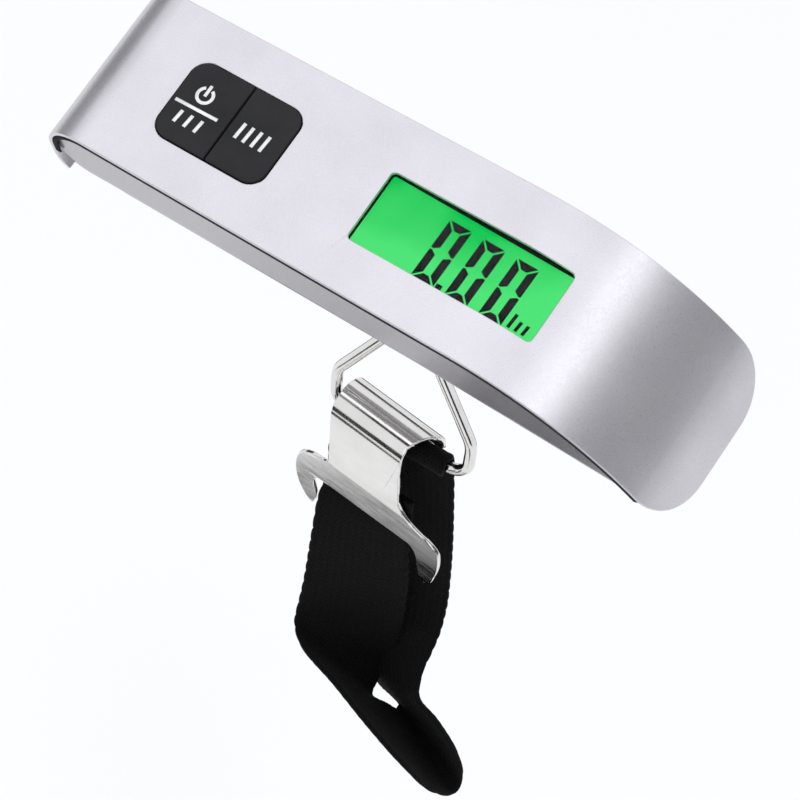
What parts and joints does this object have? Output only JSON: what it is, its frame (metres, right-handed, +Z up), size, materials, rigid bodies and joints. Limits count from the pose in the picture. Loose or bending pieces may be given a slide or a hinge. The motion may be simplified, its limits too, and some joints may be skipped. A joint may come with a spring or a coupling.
{
  "type": "luggage_scale",
  "caption": "Hand-held digital luggage scale: long body under a bent satin plate, green display, two keys, and below it a wire ring, a rolled T hook and a black webbing loop.",
  "frame": {"origin": "Middle of the hand grip, on the body's long axis, halfway between the plate's face and the belly.", "axes": "+X runs along the body from the key end to the display end, +Z is up while ring, hook and loop hang plumb, +Y points away from the reader; the face leans 20 degrees towards -Y."},
  "size_m": [0.1547, 0.0574, 0.1626],
  "materials": {
    "satin_metal": "satin",
    "dark_liner": "matte",
    "grey_plastic": "satin",
    "screw_steel": "satin",
    "clear_window": "gloss",
    "gasket_foam": "matte",
    "display_glass": "gloss",
    "light_guide": "satin",
    "zebra_rubber": "matte",
    "board_green": "satin",
    "chip_black": "matte",
    "can_steel": "satin",
    "capacitor_sleeve": "gloss",
    "key_rubber": "matte",
    "membrane_rubber": "matte",
    "contact_brass": "satin",
    "cell_aluminium": "satin",
    "gauge_film": "satin",
    "wire_red": "satin",
    "wire_black": "satin",
    "wire_white": "satin",
    "wire_green": "satin",
    "nickel": "polished",
    "webbing": "woven"
  },
  "bodies": {
    "housing": {"top_plate": "satin_metal", "liner": "dark_liner", "lower_housing": "grey_plastic", "housing_screw_1": "screw_steel", "housing_screw_2": "screw_steel", "housing_screw_3": "screw_steel", "housing_screw_4": "screw_steel", "display_window": "clear_window", "display_gasket": "gasket_foam", "display_glass": "display_glass", "backlight": "light_guide", "contact_strip": "zebra_rubber", "circuit_board": "board_green", "converter_chip": "chip_black", "amplifier_chip": "chip_black", "crystal": "can_steel", "capacitor": "capacitor_sleeve", "resistor_1": "chip_black", "resistor_2": "chip_black", "power_switch": "chip_black", "unit_switch": "chip_black", "key_membrane": "membrane_rubber", "board_screw_1": "screw_steel", "board_screw_2": "screw_steel", "coin_cell": "can_steel", "cell_contact_positive": "contact_brass", "cell_contact_negative": "contact_brass", "load_cell": "cell_aluminium", "anchor_bolt_1": "screw_steel", "anchor_bolt_2": "screw_steel", "gauge_top": "gauge_film", "gauge_bottom": "gauge_film", "gauge_wire_1": "wire_red", "gauge_wire_2": "wire_black", "gauge_wire_3": "wire_white", "gauge_wire_4": "wire_green", "eye_plate": "screw_steel", "eye_pin": "screw_steel"},
    "power_key": {"power_key": "key_rubber"},
    "unit_key": {"unit_key": "key_rubber"},
    "cover": {"battery_cover": "grey_plastic"},
    "ring": {"ring": "nickel"},
    "hook": {"hook": "nickel"},
    "loop": {"strap": "webbing"}
  },
  "joints": [
    {"name": "power_key_press", "type": "slide", "parent": "housing", "child": "power_key", "axis": [0, 0.342, -0.9397], "range_m": [0, 0.0006], "stiffness_N_per_m": 800},
    {"name": "unit_key_press", "type": "slide", "parent": "housing", "child": "unit_key", "axis": [0, 0.342, -0.9397], "range_m": [0, 0.0006], "stiffness_N_per_m": 800},
    {"name": "cover_lift", "type": "slide", "parent": "housing", "child": "cover", "axis": [0, 0.342, -0.9397], "range_m": [0, 0.012]},
    {"name": "ring_swing", "type": "hinge", "parent": "housing", "child": "ring", "pos_m": [0.0079, -0.006, -0.0165], "axis": [1, 0, 0], "range_deg": [-60, 60]},
    {"name": "hook_swing", "type": "hinge", "parent": "ring", "child": "hook", "pos_m": [0.0079, -0.006, -0.0537], "axis": [1, 0, 0], "range_deg": [-50, 50]},
    {"name": "loop_swing", "type": "hinge", "parent": "ring", "child": "loop", "pos_m": [0.0079, -0.006, -0.0537], "axis": [1, 0, 0], "range_deg": [-50, 50]}
  ],
  "couplings": [
    {"joint": "loop_swing", "follows": "hook_swing", "ratio": 1}
  ]
}
